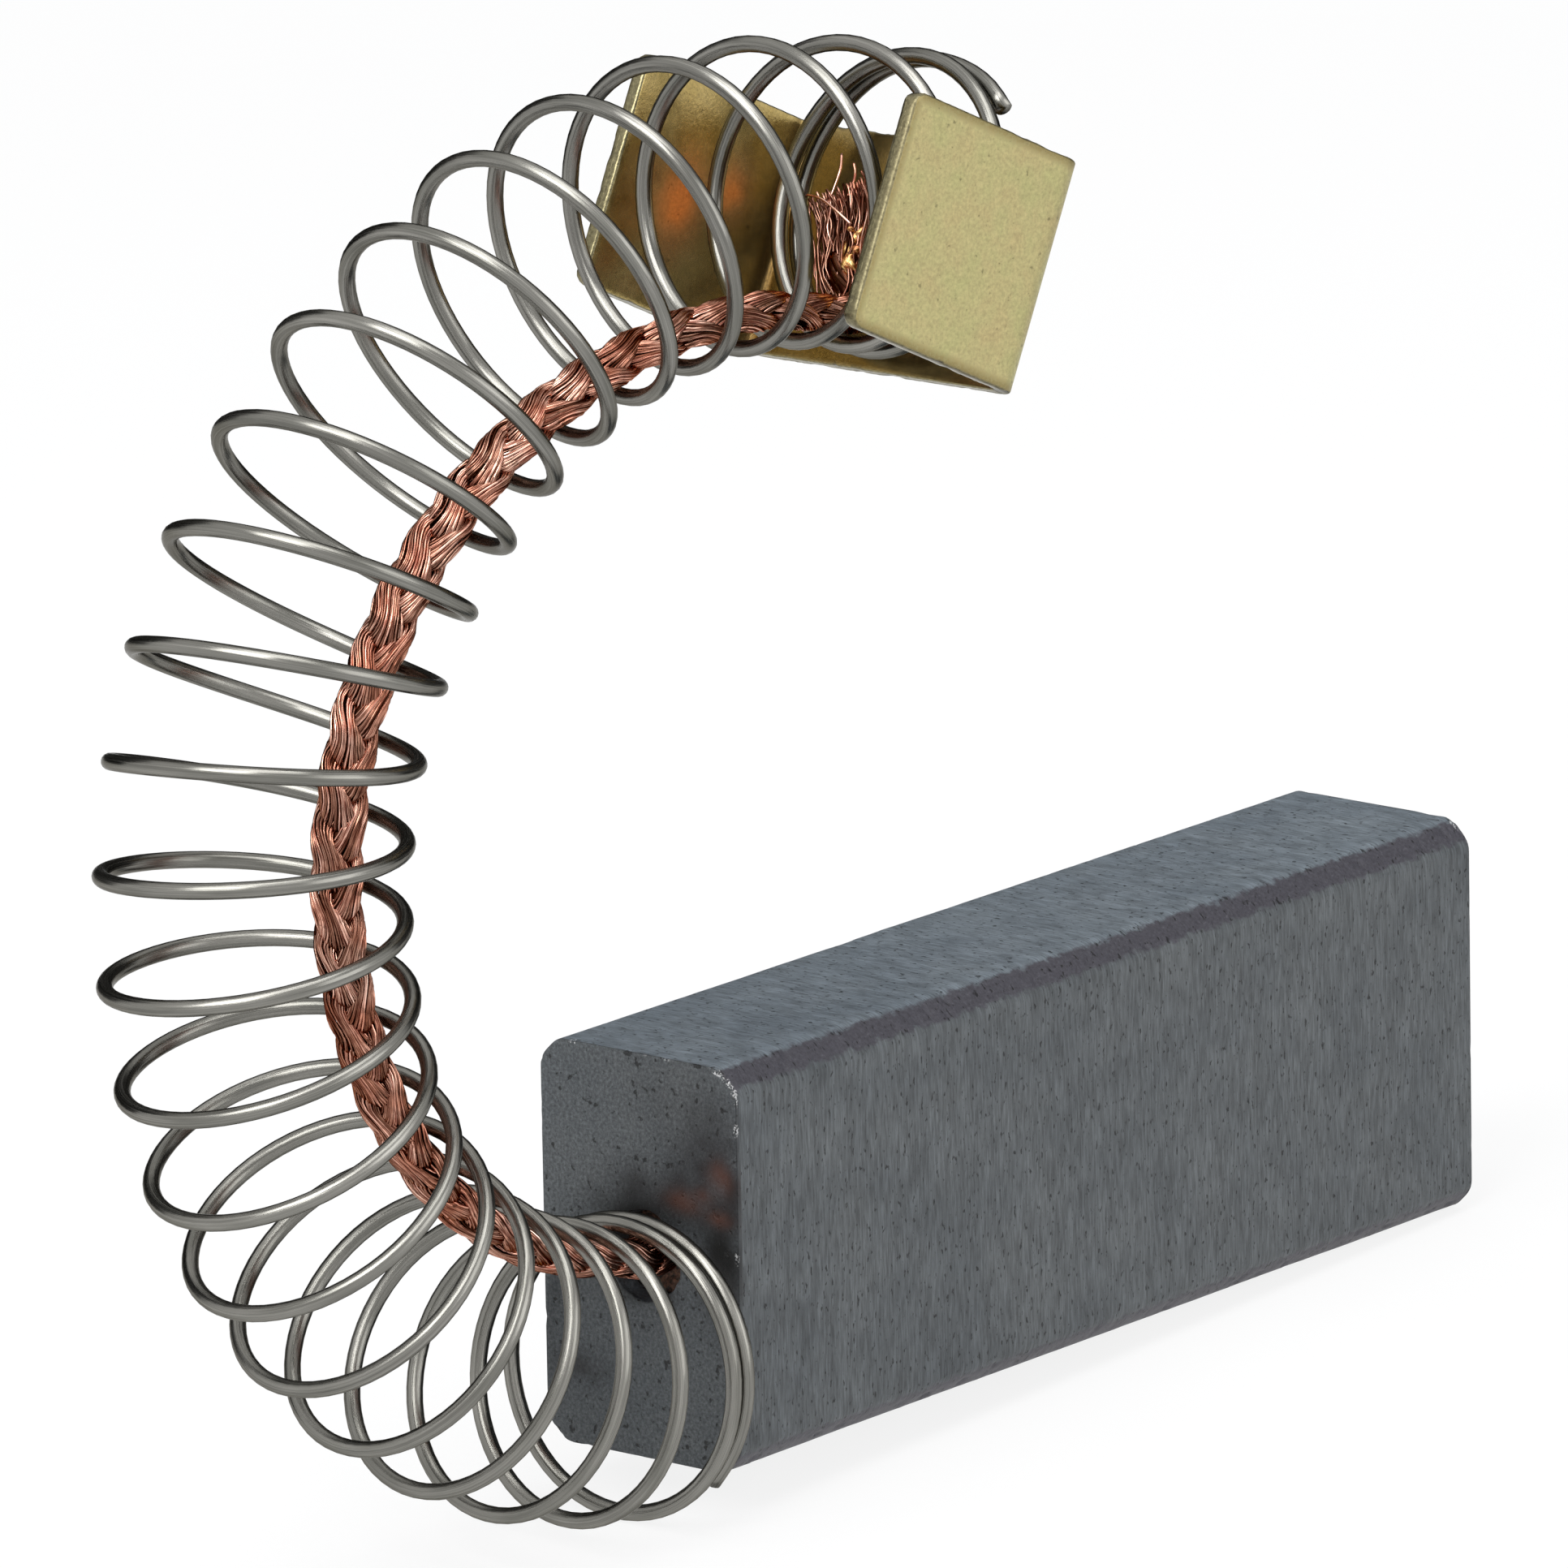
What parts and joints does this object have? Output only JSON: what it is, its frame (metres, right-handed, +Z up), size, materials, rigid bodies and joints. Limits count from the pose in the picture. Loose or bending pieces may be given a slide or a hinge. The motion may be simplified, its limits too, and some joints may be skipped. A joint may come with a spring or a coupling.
{
  "type": "carbon brush",
  "caption": "Carbon brush with a curled compression spring, a plaited copper shunt threaded through it and a folded brass terminal clip.",
  "frame": {"origin": "middle of the block's lower narrow face, level with its underside", "axes": "+X along the block from the spring end to the contact face, +Y across the block towards its rear flank, +Z up the block's height"},
  "size_m": [0.0523, 0.0136, 0.0403],
  "materials": {
    "carbon": "pressed and ground grey-black carbon, matte with fine grinding marks",
    "tamping": "dark tamped copper powder",
    "spring_steel": "drawn bright spring wire, satin",
    "copper_braid": "bare fine copper wires, bright",
    "weld_metal": "molten golden brazed metal, glossy",
    "brass_sheet": "rolled brass sheet, slightly tarnished, satin"
  },
  "bodies": {
    "root": {"carbon_block": "carbon", "tamping_plug": "tamping", "spring": "spring_steel", "shunt": "copper_braid", "weld_nugget": "weld_metal", "terminal_clip": "brass_sheet"}
  },
  "joints": []
}
